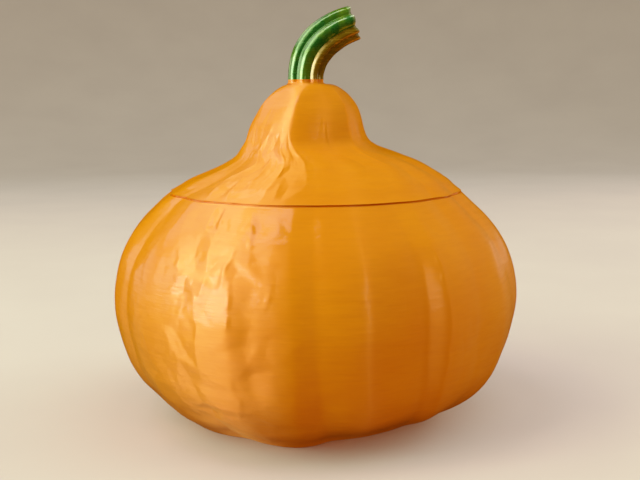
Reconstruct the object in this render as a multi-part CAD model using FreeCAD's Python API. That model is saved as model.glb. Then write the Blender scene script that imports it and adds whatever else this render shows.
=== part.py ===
import FreeCAD
import Part
import math
import os

# Gourd-shaped lidded box: a lobed hollow bowl, a bell-shaped lid with a knob and a locating lip, and a
# bent fluted stem set in the lid's crown.
#
# Millimetres. Origin on the base plane, on the axis of the round mouth. +Z up, -Y is the front, +X is
# the side the stem bends towards. Azimuths are in degrees from the front (-Y), positive towards +X.

# ---------------------------------------------------------------- driving dimensions
SEAM_Z = 65.8            # height of the parting plane between bowl and lid
FOOT_Z = 98.0            # top of the raised foot on the crown, where the stem starts
WALL = 2.4               # wall thickness of bowl and lid, behind the deepest furrow
FLOOR = 2.6              # thickness of the bowl's floor
SEAM_BREAK = 0.30        # broken edge on each side of the parting line
MOUTH_R = 39.6           # radius of the round mouth of the bowl
MOUTH_LAND = 2.6         # height of the mouth's straight wall
LIP_GAP = 0.35           # radial clearance of the lid's lip in the mouth
LIP_T = 2.2              # thickness of the lip
LIP_H = 5.0              # how far the lip reaches below the parting plane
TENON_R = 2.5            # radius of the stem's tenon
TENON_L = 5.0            # length of the tenon
SOCKET_GAP = 0.10        # radial clearance of the tenon in its socket
SOCKET_DEEPER = 0.4      # room left below the tenon's end
CROWN_T = 7.8            # solid thickness below the foot's top, which holds the socket
STEM_R = 5.40            # crest radius of the stem at its foot
STEM_FLUTE = 0.85        # depth of the stem's flutes
LID_SHIFT = -0.15        # the lid's outside sits this far to -X of the bowl's at the parting line
LID_TURN = 2.0           # the lid's lobes are turned this far against the bowl's

# Outside radius over height, measured over the crests of the lobes.
BOWL_PROFILE = [
    (0.0, 35.4), (2.0, 38.9), (4.0, 42.9), (6.0, 46.3), (8.0, 49.1), (10.0, 51.3), (12.0, 53.05),
    (14.0, 54.45), (16.0, 55.62), (18.0, 56.55), (20.0, 57.30), (23.0, 58.20), (26.0, 58.95),
    (29.0, 59.55), (32.0, 59.95), (35.5, 60.12), (39.0, 59.95), (42.0, 59.50), (45.0, 58.82),
    (48.0, 57.84), (51.0, 56.54), (54.0, 54.85), (57.0, 52.65), (60.0, 49.85), (62.4, 47.25), (64.2, 45.25),
]
LID_PROFILE = [
    (SEAM_Z, 43.42), (67.4, 41.45), (69.2, 39.05), (71.0, 35.75), (73.0, 31.60), (75.0, 27.60),
    (77.0, 23.75), (79.0, 20.45), (80.6, 18.85), (82.4, 18.00), (84.4, 17.25), (86.4, 16.50),
    (88.4, 15.60), (90.2, 14.70), (91.9, 13.50), (93.4, 12.15), (94.7, 10.60), (95.7, 8.95),
    (96.35, 7.40), (96.62, 6.40),
]
# Radius of the base's edge round the azimuth: the base is fuller at its front left.
BASE_EDGE = [
    (-90.0, 36.6), (-74.0, 37.9), (-60.0, 39.0), (-50.0, 38.7), (-40.0, 37.6), (-31.0, 36.3),
    (-21.0, 37.5), (-10.0, 38.2), (-2.0, 36.9), (6.5, 33.5), (14.0, 33.1), (24.0, 33.0),
    (36.0, 32.9), (46.0, 33.0), (56.0, 34.6), (66.0, 36.4), (80.0, 37.0), (96.0, 35.2),
    (108.0, 36.6), (119.0, 35.0), (131.0, 36.9), (142.0, 35.3), (154.0, 37.0), (165.0, 35.4),
    (178.0, 37.2), (190.0, 35.8), (202.0, 37.4), (214.0, 35.5), (226.0, 37.2), (237.0, 35.4),
    (249.0, 37.2), (259.0, 35.6),
]
# Sideways offset of the section's centre (towards +X) over height.
SHIFT = [
    (0.0, 0.0), (30.0, 0.0), (64.0, 0.0), (66.0, 0.3), (68.5, 0.9), (70.0, 1.5), (71.5, 1.9),
    (73.0, 2.3), (74.4, 2.3), (75.9, 1.5), (77.4, 0.1), (78.9, -1.5), (80.4, -2.1), (83.3, -2.3),
    (86.2, -2.0), (89.0, -1.6), (92.0, -1.4), (95.0, -1.3), (96.4, -1.4), (100.0, -1.4),
]
# Furrows between the lobes: depth in mm, then azimuth at heights of 0, 12, 30, 50 and 65 mm.
FURROW_Z = (0.0, 12.0, 30.0, 50.0, 65.0)
FURROWS = [
    (1.05, (-62.0, -60.0, -61.0, -61.0, -60.5)),
    (1.25, (-34.0, -32.0, -36.0, -34.0, -32.5)),
    (0.55, (-14.0, -15.0, -16.5, -17.5, -17.0)),
    (1.25, (7.0, 3.6, 1.4, 0.7, -2.5)),
    (1.25, (33.0, 28.5, 26.5, 27.4, 28.5)),
    (1.10, (51.0, 49.0, 45.5, 46.0, 47.0)),
    (0.70, (74.0, 73.0, 72.5, 66.0, 64.0)),
    (0.85, (96.0, 97.0, 97.0, 93.0, 90.0)),
    (1.20, (119.0, 118.0, 117.0, 116.0, 114.0)),
    (1.05, (142.0, 141.0, 143.0, 142.0, 140.0)),
    (1.20, (165.0, 167.0, 168.0, 166.0, 164.0)),
    (1.00, (190.0, 191.0, 190.0, 188.0, 189.0)),
    (1.20, (214.0, 214.0, 212.0, 213.0, 214.0)),
    (1.05, (236.0, 238.0, 237.0, 236.0, 236.0)),
    (1.20, (259.0, 258.0, 257.0, 258.0, 258.0)),
    (0.95, (278.0, 279.0, 278.0, 277.0, 277.0)),
]
# Soft ridges of the knob, which take over from the lobes between these two heights.
KNOB_RIDGES = (-76.0, -16.0, 44.0, 101.0, 163.0, 222.0)
KNOB_FACET = 1.15
KNOB_FROM, KNOB_TO = 72.0, 82.0
# Furrows of the stem (azimuth about its own axis) and its centre line in the X-Z plane.
STEM_FURROWS = (-122.0, -80.0, -40.0, 11.0, 45.0, 86.0, 127.0, 166.0, 203.0)
STEM_LINE = [  # (x, y, z, crest radius)
    (-2.38, 0.00, 98.0, 5.40), (-2.30, -0.02, 99.6, 5.42), (-2.05, -0.05, 101.2, 5.48),
    (-1.60, -0.08, 103.0, 5.58), (-0.85, -0.10, 104.9, 5.70), (0.25, -0.12, 106.7, 5.78),
    (1.70, -0.12, 108.4, 5.80), (3.50, -0.10, 110.0, 5.74), (5.50, -0.06, 111.35, 5.64),
    (7.50, -0.02, 112.50, 5.52), (9.55, 0.03, 113.50, 5.36), (11.47, 0.08, 114.35, 5.15),
]
STEM_END_RISE = 20.0     # the cut end faces this far above level, in degrees

N_BODY = 120             # points round the body
N_STEM = 90              # points round the stem


# ---------------------------------------------------------------- small mathematics
def table(rows, z):
    """Value at z of a table of (z, value), smooth between its rows."""
    if z <= rows[0][0]:
        return rows[0][1]
    if z >= rows[-1][0]:
        return rows[-1][1]
    k = 0
    while rows[k + 1][0] < z:
        k += 1
    z0, v0 = rows[k]
    z1, v1 = rows[k + 1]
    m0 = (v1 - rows[k - 1][1]) / (z1 - rows[k - 1][0]) if k > 0 else (v1 - v0) / (z1 - z0)
    m1 = (rows[k + 2][1] - v0) / (rows[k + 2][0] - z0) if k + 2 < len(rows) else (v1 - v0) / (z1 - z0)
    h = z1 - z0
    t = (z - z0) / h
    return ((2 * t ** 3 - 3 * t ** 2 + 1) * v0 + (t ** 3 - 2 * t ** 2 + t) * h * m0
            + (-2 * t ** 3 + 3 * t ** 2) * v1 + (t ** 3 - t ** 2) * h * m1)


def smooth(a, b, x):
    t = min(1.0, max(0.0, (x - a) / (b - a)))
    return t * t * (3 - 2 * t)


def normals(profile):
    """Outward unit normals (radial, vertical) at the points of a profile."""
    out = []
    for i in range(len(profile)):
        a = profile[max(0, i - 1)]
        b = profile[min(len(profile) - 1, i + 1)]
        dz, dr = b[0] - a[0], b[1] - a[1]
        length = math.hypot(dz, dr)
        out.append((dz / length, -dr / length))
    return out


def furrow(az, z, turn=0.0):
    """Depth of the lobed surface below its crests at an azimuth and height."""
    marks = []
    for depth, path in FURROWS:
        rows = list(zip(FURROW_Z, path))
        marks.append((table(rows, min(z, 65.0)) + turn, depth))
    n = len(marks)
    a = (az - marks[0][0]) % 360.0 + marks[0][0]
    for i in range(n):
        lo, d0 = marks[i]
        hi, d1 = marks[(i + 1) % n]
        if i == n - 1:
            hi += 360.0
        if lo <= a <= hi:
            t = (a - lo) / (hi - lo)
            return (d0 + (d1 - d0) * smooth(0, 1, t)) * (1 - math.sin(math.pi * t)) ** 1.15
    return 0.0


def facet(az):
    """Depth of the knob's flats below its ridges."""
    n = len(KNOB_RIDGES)
    a = (az - KNOB_RIDGES[0]) % 360.0 + KNOB_RIDGES[0]
    for i in range(n):
        lo = KNOB_RIDGES[i]
        hi = KNOB_RIDGES[(i + 1) % n] + (360.0 if i == n - 1 else 0.0)
        if lo <= a <= hi:
            return KNOB_FACET * math.sin(math.pi * (a - lo) / (hi - lo))
    return 0.0


def flute(az, depth):
    """Depth of the stem's section below its crests."""
    n = len(STEM_FURROWS)
    a = (az - STEM_FURROWS[0]) % 360.0 + STEM_FURROWS[0]
    for i in range(n):
        lo = STEM_FURROWS[i]
        hi = STEM_FURROWS[(i + 1) % n] + (360.0 if i == n - 1 else 0.0)
        if lo <= a <= hi:
            return depth * (1 - math.sin(math.pi * (a - lo) / (hi - lo))) ** 0.9
    return 0.0


def base_edge(az):
    """Radius of the base's edge at an azimuth."""
    a = (az + 90.0) % 360.0 - 90.0
    rows = [(p[0] - 360.0, p[1]) for p in BASE_EDGE[-2:]] + BASE_EDGE \
        + [(p[0] + 360.0, p[1]) for p in BASE_EDGE[:3]]
    return table(rows, a)


def periodic(values):
    """Control values of the closed uniform cubic spline through the values."""
    n = len(values)
    p = list(values)
    for _ in range(60):
        for i in range(n):
            p[i] = (6 * values[i] - p[i - 1] - p[(i + 1) % n]) / 4.0
    return [p[-1]] + p[:-1]


def closed_surface(rows):
    """Smooth surface through rows of points, closed round each row."""
    n = len(rows[0])
    around = []
    for row in rows:
        c = [periodic([p[k] for p in row]) for k in range(3)]
        around.append([FreeCAD.Vector(c[0][i], c[1][i], c[2][i]) for i in range(n)])
    s = [0.0]
    for a, b in zip(rows, rows[1:]):
        s.append(s[-1] + sum(math.dist(p, q) for p, q in zip(a, b)) / n)
    s = [v / s[-1] for v in s]
    columns = []
    for i in range(n):
        curve = Part.BSplineCurve()
        curve.interpolate(Points=[row[i] for row in around], Parameters=s)
        columns.append(curve)
    first = columns[0]
    surface = Part.BSplineSurface()
    surface.buildFromPolesMultsKnots(
        [c.getPoles() for c in columns], [1] * (n + 1), first.getMultiplicities(),
        [float(i) for i in range(n + 1)], first.getKnots(), True, False, 3, first.Degree)
    return surface


def end_edge(face, low):
    """The closed boundary edge of a face at its lower or upper end along Z."""
    closed = [e for e in face.Edges if e.isClosed()]
    closed.sort(key=lambda e: e.CenterOfMass.z)
    return closed[0] if low else closed[-1]


def solid_from(faces):
    shell = Part.Shell(faces)
    shell.sewShape()
    solid = Part.Solid(shell if shell.ShapeType == "Shell" else shell.Shells[0])
    if solid.Volume < 0:
        solid.reverse()
    return solid


def turned(points):
    """Solid of revolution about Z from a closed outline of (radius, height)."""
    wire = Part.makePolygon([FreeCAD.Vector(r, 0, z) for r, z in points + points[:1]])
    return Part.Face(wire).revolve(FreeCAD.Vector(0, 0, 0), FreeCAD.Vector(0, 0, 1), 360)


def offset_inside(profile, z_low, z_high, wall, step=2.0):
    """Radii of a round hollow that leaves at least the wall everywhere round a profile."""
    nrm = normals(profile)
    line = []
    for (z, r), (nr, nz) in zip(profile, nrm):
        side = abs(table(SHIFT, z))
        deep = wall + 1.3 + side * nr
        line.append((z - nz * deep, r - nr * deep))
    line.sort()
    out = []
    z = z_low
    while z < z_high + 1e-6:
        k = 0
        while k < len(line) - 2 and line[k + 1][0] < z:
            k += 1
        (z0, r0), (z1, r1) = line[k], line[k + 1]
        t = (z - z0) / (z1 - z0) if z1 > z0 else 0.0
        out.append((z, r0 + (r1 - r0) * min(1.0, max(0.0, t))))
        z += step
    return out


BASE_NR = max(0.45, normals(BOWL_PROFILE)[0][0])


# ---------------------------------------------------------------- bowl
def body_row(r, z, nr, nz, level, turn, shift_extra=0.0):
    """One ring of the body: level 0 keeps the ring in its plane, 1 follows the normal."""
    row = []
    cx = table(SHIFT, z) + shift_extra
    for i in range(N_BODY):
        az = 360.0 * i / N_BODY
        a = math.radians(az)
        lobes = furrow(az, z, turn)
        k = smooth(KNOB_FROM, KNOB_TO, z)
        fade = 1.0 - 0.75 * smooth(66.0, 78.0, z)
        top = 1.0 - smooth(92.0, 96.4, z)
        d = lobes * fade * (1 - k) + (facet(az) * 1.0 + 0.25 * lobes) * k * top
        flat = 1.0 / max(nr, 0.45)
        dr = d * (nr * level + flat * (1 - level))
        dz = d * nz * level
        rr = r - dr
        low = 1.0 - smooth(0.0, 10.0, z)
        if low > 0:
            nr0 = BASE_NR
            rr += low * (base_edge(az) - (BOWL_PROFILE[0][1] - furrow(az, 0.0, turn) / nr0))
        row.append((cx + rr * math.sin(a), -rr * math.cos(a), z - dz))
    return row


def flat_row(row, inwards, z):
    """A ring moved towards the axis by a distance, at a given height."""
    out = []
    for x, y, _ in row:
        r = math.hypot(x, y)
        out.append((x * (r - inwards) / r, y * (r - inwards) / r, z))
    return out


def make_bowl():
    nrm = normals(BOWL_PROFILE + [(SEAM_Z, 43.42)])
    rows = []
    for (z, r), (nr, nz) in zip(BOWL_PROFILE, nrm):
        level = smooth(0.0, 7.0, z) * (1 - smooth(56.0, SEAM_Z, z))
        rows.append(body_row(r, z, nr, nz, level, 0.0))
    edge = body_row(43.42, SEAM_Z, 0.66, 0.75, 0.0, 0.0)
    z_break = SEAM_Z - SEAM_BREAK
    rows.append([(x, y, z_break) for x, y, _ in body_row(43.76, z_break, 0.66, 0.75, 0.0, 0.0)])
    side = closed_surface(rows).toShape()
    top = flat_row(edge, SEAM_BREAK * 1.2, SEAM_Z)
    upper = Part.BSplineCurve()
    c = [periodic([p[k] for p in top]) for k in range(3)]
    n = len(top)
    upper.buildFromPolesMultsKnots([FreeCAD.Vector(c[0][i], c[1][i], c[2][i]) for i in range(n)],
                                   [1] * (n + 1), [float(i) for i in range(n + 1)], True, 3)
    upper_edge = upper.toShape()
    bevel = Part.makeRuledSurface(end_edge(side, False), upper_edge)
    base = Part.Face(Part.Wire([end_edge(side, True)]))
    cover = Part.Face(Part.Wire([upper_edge]))
    outside = solid_from([side, bevel, base, cover])

    inner = offset_inside(BOWL_PROFILE + [(SEAM_Z, 43.42)], 6.0, 54.0, WALL)
    corner = inner[0][1]
    hollow = [(0.0, FLOOR), (corner - 9.0, FLOOR), (corner - 5.0, FLOOR + 0.45),
              (corner - 2.0, FLOOR + 1.7)]
    hollow += [(r, z) for z, r in inner]
    hollow.append((MOUTH_R, SEAM_Z - MOUTH_LAND))
    hollow.append((MOUTH_R, SEAM_Z + 5))
    hollow.append((0.0, SEAM_Z + 5))
    return outside.cut(turned(hollow))


# ---------------------------------------------------------------- lid
def make_lid():
    nrm = normals([BOWL_PROFILE[-1]] + LID_PROFILE)[1:]
    rows = []
    edge = body_row(43.42, SEAM_Z, 0.66, 0.75, 0.0, LID_TURN, LID_SHIFT)
    z_break = SEAM_Z + SEAM_BREAK
    rows.append([(x, y, z_break) for x, y, _ in
                 body_row(43.08, z_break, 0.66, 0.75, 0.0, LID_TURN, LID_SHIFT)])
    for (z, r), (nr, nz) in list(zip(LID_PROFILE, nrm))[1:]:
        level = smooth(SEAM_Z, 71.0, z) * (1 - smooth(90.0, 96.0, z))
        extra = LID_SHIFT * (1 - smooth(SEAM_Z, 74.0, z))
        rows.append(body_row(r, z, nr, nz, level, LID_TURN, extra))
    cx = STEM_LINE[0][0]
    for z, r, share in ((96.85, 5.62, 0.75), (97.2, 5.38, 1.0), (97.6, STEM_R, 1.0),
                        (FOOT_Z, STEM_R, 1.0)):
        row = []
        for i in range(N_BODY):
            az = 360.0 * i / N_BODY
            a = math.radians(az)
            rr = r - flute(az, STEM_FLUTE * share)
            row.append((cx + rr * math.sin(a), -rr * math.cos(a), z))
        rows.append(row)
    side = closed_surface(rows).toShape()
    lower = flat_row(edge, SEAM_BREAK * 1.2, SEAM_Z)
    c = [periodic([p[k] for p in lower]) for k in range(3)]
    n = len(lower)
    curve = Part.BSplineCurve()
    curve.buildFromPolesMultsKnots([FreeCAD.Vector(c[0][i], c[1][i], c[2][i]) for i in range(n)],
                                   [1] * (n + 1), [float(i) for i in range(n + 1)], True, 3)
    lower_edge = curve.toShape()
    bevel = Part.makeRuledSurface(lower_edge, end_edge(side, True))
    under = Part.Face(Part.Wire([lower_edge]))
    top = Part.Face(Part.Wire([end_edge(side, False)]))
    outside = solid_from([side, bevel, under, top])

    lip_out = MOUTH_R - LIP_GAP
    lip_in = lip_out - LIP_T
    inner = offset_inside([(62.4, 47.12)] + LID_PROFILE, 66.0, 88.0, WALL, 1.0)
    hollow = [(0.0, SEAM_Z - 1.0), (lip_in, SEAM_Z - 1.0), (lip_in, SEAM_Z)]
    hollow += [(r, z) for z, r in inner if r < lip_in - 1.0]
    last_r = hollow[-1][0]
    top_z = FOOT_Z - CROWN_T
    hollow.append((last_r * 0.72, top_z - 0.5))
    hollow.append((last_r * 0.35, top_z))
    hollow.append((0.0, top_z))
    lid = outside.cut(turned(hollow))

    lip = turned([(lip_in, SEAM_Z - LIP_H), (lip_out - 0.6, SEAM_Z - LIP_H),
                  (lip_out, SEAM_Z - LIP_H + 0.6), (lip_out, SEAM_Z + 0.5), (lip_in, SEAM_Z + 0.5)])
    lid = lid.fuse(lip).removeSplitter()
    socket = Part.makeCylinder(TENON_R + SOCKET_GAP, TENON_L + SOCKET_DEEPER + 1.0,
                               FreeCAD.Vector(cx, 0, FOOT_Z - TENON_L - SOCKET_DEEPER))
    return lid.cut(socket)


# ---------------------------------------------------------------- stem
def make_stem():
    rows = []
    m = len(STEM_LINE)
    for j, (x, y, z, r) in enumerate(STEM_LINE):
        a = STEM_LINE[max(0, j - 1)]
        b = STEM_LINE[min(m - 1, j + 1)]
        rise = math.degrees(math.atan2(b[2] - a[2], b[0] - a[0]))
        if j == 0:
            rise = 90.0
        if j == m - 1:
            rise = STEM_END_RISE
        t = math.radians(rise)
        # section axes: u lies in the X-Z plane, square to the line; v is -Y
        ux, uz = math.sin(t), -math.cos(t)
        row = []
        for i in range(N_STEM):
            az = 360.0 * i / N_STEM
            rr = r - flute(az, STEM_FLUTE)
            p, q = rr * math.sin(math.radians(az)), rr * math.cos(math.radians(az))
            row.append((x + p * ux, y - q, z + p * uz))
        rows.append(row)
    side = closed_surface(rows).toShape()
    closed = sorted([e for e in side.Edges if e.isClosed()], key=lambda e: e.CenterOfMass.z)
    foot = Part.Face(Part.Wire([closed[0]]))
    end = Part.Face(Part.Wire([closed[-1]]))
    body = solid_from([side, foot, end])
    tenon = Part.makeCylinder(TENON_R, TENON_L + 1.0,
                              FreeCAD.Vector(STEM_LINE[0][0], 0, FOOT_Z - TENON_L))
    return body.fuse(tenon).removeSplitter()


os.makedirs("parts", exist_ok=True)
for name, maker in (("bowl", make_bowl), ("lid", make_lid), ("stem", make_stem)):
    shape = maker()
    if shape.ShapeType == "Compound" and len(shape.Solids) == 1:
        shape = shape.Solids[0]
    box = shape.BoundBox
    print(name, shape.ShapeType, "solids", len(shape.Solids), "valid", shape.isValid(),
          "volume %.0f" % shape.Volume, "box %.2f %.2f %.2f .. %.2f %.2f %.2f"
          % (box.XMin, box.YMin, box.ZMin, box.XMax, box.YMax, box.ZMax))
    shape.exportStep("parts/%s.step" % name)
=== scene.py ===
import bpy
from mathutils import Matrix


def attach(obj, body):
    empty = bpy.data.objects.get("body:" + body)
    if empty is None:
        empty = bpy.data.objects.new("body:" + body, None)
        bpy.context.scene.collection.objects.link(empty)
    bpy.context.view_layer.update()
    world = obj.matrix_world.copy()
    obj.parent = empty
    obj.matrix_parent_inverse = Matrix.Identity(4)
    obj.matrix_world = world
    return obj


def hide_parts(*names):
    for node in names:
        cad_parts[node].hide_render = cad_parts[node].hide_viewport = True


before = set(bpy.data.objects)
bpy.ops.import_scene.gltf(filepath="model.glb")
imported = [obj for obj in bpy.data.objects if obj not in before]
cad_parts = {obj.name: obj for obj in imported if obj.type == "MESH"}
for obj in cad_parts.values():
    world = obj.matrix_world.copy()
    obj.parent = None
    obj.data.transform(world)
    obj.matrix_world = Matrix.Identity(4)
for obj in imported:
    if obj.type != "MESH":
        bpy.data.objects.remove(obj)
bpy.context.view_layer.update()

import math

import bpy
import numpy as np
from mathutils import Matrix, Vector
from mathutils.geometry import delaunay_2d_cdt

# Gourd-shaped lidded box printed in silk-gloss filament: orange bowl and lid, green and gold stem.
# Lengths are in millimetres in the shape code and become metres when a mesh is made.
# Azimuths are in degrees from the front (-Y), positive towards +X.

MM = 0.001

# ---------------------------------------------------------------- shape tables, as in the construction
SEAM_Z = 65.8
FOOT_Z = 98.0
FLOOR = 2.6
MOUTH_R = 39.6
MOUTH_LAND = 2.6
LIP_OUT = 39.25
LIP_IN = 37.05
LIP_H = 5.0
TENON_R = 2.5
TENON_L = 5.0
STEM_R = 5.40
STEM_FLUTE = 1.05
LID_SHIFT = -0.15

BOWL_PROFILE = [
    (0.0, 35.4), (2.0, 38.9), (4.0, 42.9), (6.0, 46.3), (8.0, 49.1), (10.0, 51.3), (12.0, 53.05),
    (14.0, 54.45), (16.0, 55.62), (18.0, 56.55), (20.0, 57.30), (23.0, 58.20), (26.0, 58.95),
    (29.0, 59.55), (32.0, 59.95), (35.5, 60.12), (39.0, 59.95), (42.0, 59.50), (45.0, 58.82),
    (48.0, 57.84), (51.0, 56.54), (54.0, 54.85), (57.0, 52.65), (60.0, 49.85), (62.4, 47.25), (64.2, 45.25),
]
LID_PROFILE = [
    (SEAM_Z, 43.42), (67.4, 41.45), (69.2, 39.05), (71.0, 35.75), (73.0, 31.60), (75.0, 27.60),
    (77.0, 23.75), (79.0, 20.45), (80.6, 18.85), (82.4, 18.00), (84.4, 17.25), (86.4, 16.50),
    (88.4, 15.60), (90.2, 14.70), (91.9, 13.50), (93.4, 12.15), (94.7, 10.60), (95.7, 8.95),
    (96.35, 7.40), (96.62, 6.40),
]
BASE_EDGE = [
    (-90.0, 36.6), (-74.0, 37.9), (-60.0, 39.0), (-50.0, 38.7), (-40.0, 37.6), (-31.0, 36.3),
    (-21.0, 37.5), (-10.0, 38.2), (-2.0, 36.9), (6.5, 33.5), (14.0, 33.1), (24.0, 33.0),
    (36.0, 32.9), (46.0, 33.0), (56.0, 34.6), (66.0, 36.4), (80.0, 37.0), (96.0, 35.2),
    (108.0, 36.6), (119.0, 35.0), (131.0, 36.9), (142.0, 35.3), (154.0, 37.0), (165.0, 35.4),
    (178.0, 37.2), (190.0, 35.8), (202.0, 37.4), (214.0, 35.5), (226.0, 37.2), (237.0, 35.4),
    (249.0, 37.2), (259.0, 35.6),
]
SHIFT = [
    (0.0, 0.0), (30.0, 0.0), (64.0, 0.0), (66.0, 0.3), (68.5, 0.9), (70.0, 1.5), (71.5, 1.9),
    (73.0, 2.3), (74.4, 2.3), (75.9, 1.5), (77.4, 0.1), (78.9, -1.5), (80.4, -2.1), (83.3, -2.3),
    (86.2, -2.0), (89.0, -1.6), (92.0, -1.4), (95.0, -1.3), (96.4, -1.4), (100.0, -1.4),
]
# Lobes: the section is a run of soft flats between furrows and crests. Each row is how crisp the corner is,
# its azimuth at each height, and its depth in mm below the crests at each height.
BOWL_Z = (0.0, 12.0, 30.0, 50.0, 65.8)
BOWL_LOBES = [
    (1.00, (-62.0, -60.0, -61.0, -61.0, -60.5), (1.20, 1.25, 1.30, 1.30, 1.15)),
    (0.20, (-49.0, -47.0, -50.0, -49.0, -48.0), (0.10, 0.10, 0.10, 0.10, 0.10)),
    (0.60, (-34.0, -32.0, -36.0, -34.5, -32.5), (1.25, 1.10, 0.75, 0.85, 0.95)),
    (0.55, (-24.0, -22.0, -21.5, -22.5, -24.0), (0.10, 0.10, 0.05, 0.10, 0.15)),
    (0.40, (-14.0, -15.0, -15.8, -17.0, -17.0), (0.75, 0.75, 0.66, 0.40, 0.25)),
    (0.75, (-4.5, -5.2, -4.9, -5.6, -6.5), (0.00, 0.00, 0.00, 0.00, 0.00)),
    (0.80, (6.0, 2.4, 0.6, 0.0, -1.0), (1.35, 1.30, 1.20, 0.95, 0.50)),
    (0.65, (19.0, 14.5, 12.5, 12.5, 12.5), (0.00, 0.00, 0.00, 0.00, 0.00)),
    (0.90, (36.0, 31.0, 28.7, 28.5, 27.5), (1.30, 1.60, 2.00, 1.65, 0.60)),
    (0.97, (43.0, 36.0, 34.2, 34.0, 35.0), (0.05, 0.05, 0.00, 0.00, 0.05)),
    (0.55, (52.0, 49.5, 47.0, 47.0, 47.5), (1.10, 1.10, 1.15, 0.95, 0.75)),
    (0.20, (62.0, 61.0, 60.0, 57.5, 57.0), (0.00, 0.00, 0.00, 0.00, 0.05)),
    (0.95, (74.0, 73.0, 72.5, 66.0, 64.0), (0.95, 0.95, 0.95, 0.95, 0.95)),
    (0.30, (84.0, 84.0, 83.0, 77.0, 75.0), (0.05, 0.05, 0.00, 0.00, 0.00)),
    (0.60, (96.0, 97.0, 97.0, 93.0, 90.0), (0.90, 0.85, 0.85, 0.80, 0.75)),
    (0.30, (109.0, 108.0, 106.0, 104.0, 101.0), (0.00, 0.00, 0.00, 0.00, 0.00)),
    (0.50, (119.0, 118.0, 117.0, 116.0, 114.0), (1.20, 1.05, 1.00, 0.90, 0.75)),
    (0.55, (132.0, 131.0, 132.0, 130.0, 128.0), (0.05, 0.00, 0.00, 0.00, 0.05)),
    (0.60, (142.0, 141.0, 143.0, 142.0, 140.0), (1.05, 0.95, 0.85, 0.80, 0.70)),
    (0.30, (152.0, 152.0, 154.0, 153.0, 151.0), (0.05, 0.00, 0.00, 0.00, 0.00)),
    (0.45, (165.0, 167.0, 168.0, 166.0, 164.0), (1.20, 1.05, 0.95, 0.90, 0.80)),
    (0.60, (177.0, 180.0, 179.0, 176.0, 177.0), (0.00, 0.00, 0.00, 0.00, 0.05)),
    (0.50, (190.0, 191.0, 190.0, 188.0, 189.0), (1.00, 0.90, 0.80, 0.75, 0.65)),
    (0.25, (200.0, 201.0, 200.0, 199.0, 200.0), (0.00, 0.00, 0.00, 0.00, 0.00)),
    (0.60, (214.0, 214.0, 212.0, 213.0, 214.0), (1.20, 1.05, 0.95, 0.90, 0.75)),
    (0.50, (226.0, 227.0, 225.0, 225.0, 226.0), (0.05, 0.00, 0.00, 0.00, 0.00)),
    (0.45, (236.0, 238.0, 237.0, 236.0, 236.0), (1.05, 0.95, 0.85, 0.80, 0.70)),
    (0.30, (248.0, 249.0, 246.0, 246.0, 247.0), (0.00, 0.00, 0.00, 0.00, 0.05)),
    (0.60, (259.0, 258.0, 257.0, 258.0, 258.0), (1.15, 1.05, 1.00, 0.90, 0.80)),
    (0.35, (269.0, 268.0, 268.0, 267.0, 268.0), (0.05, 0.00, 0.00, 0.00, 0.00)),
    (0.60, (278.0, 279.0, 278.0, 277.0, 277.0), (0.95, 0.90, 0.85, 0.80, 0.75)),
    (0.25, (288.0, 289.0, 288.0, 287.0, 288.0), (0.00, 0.00, 0.00, 0.00, 0.00)),
]
LID_Z = (65.8, 70.0, 75.0, 80.0)
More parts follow.
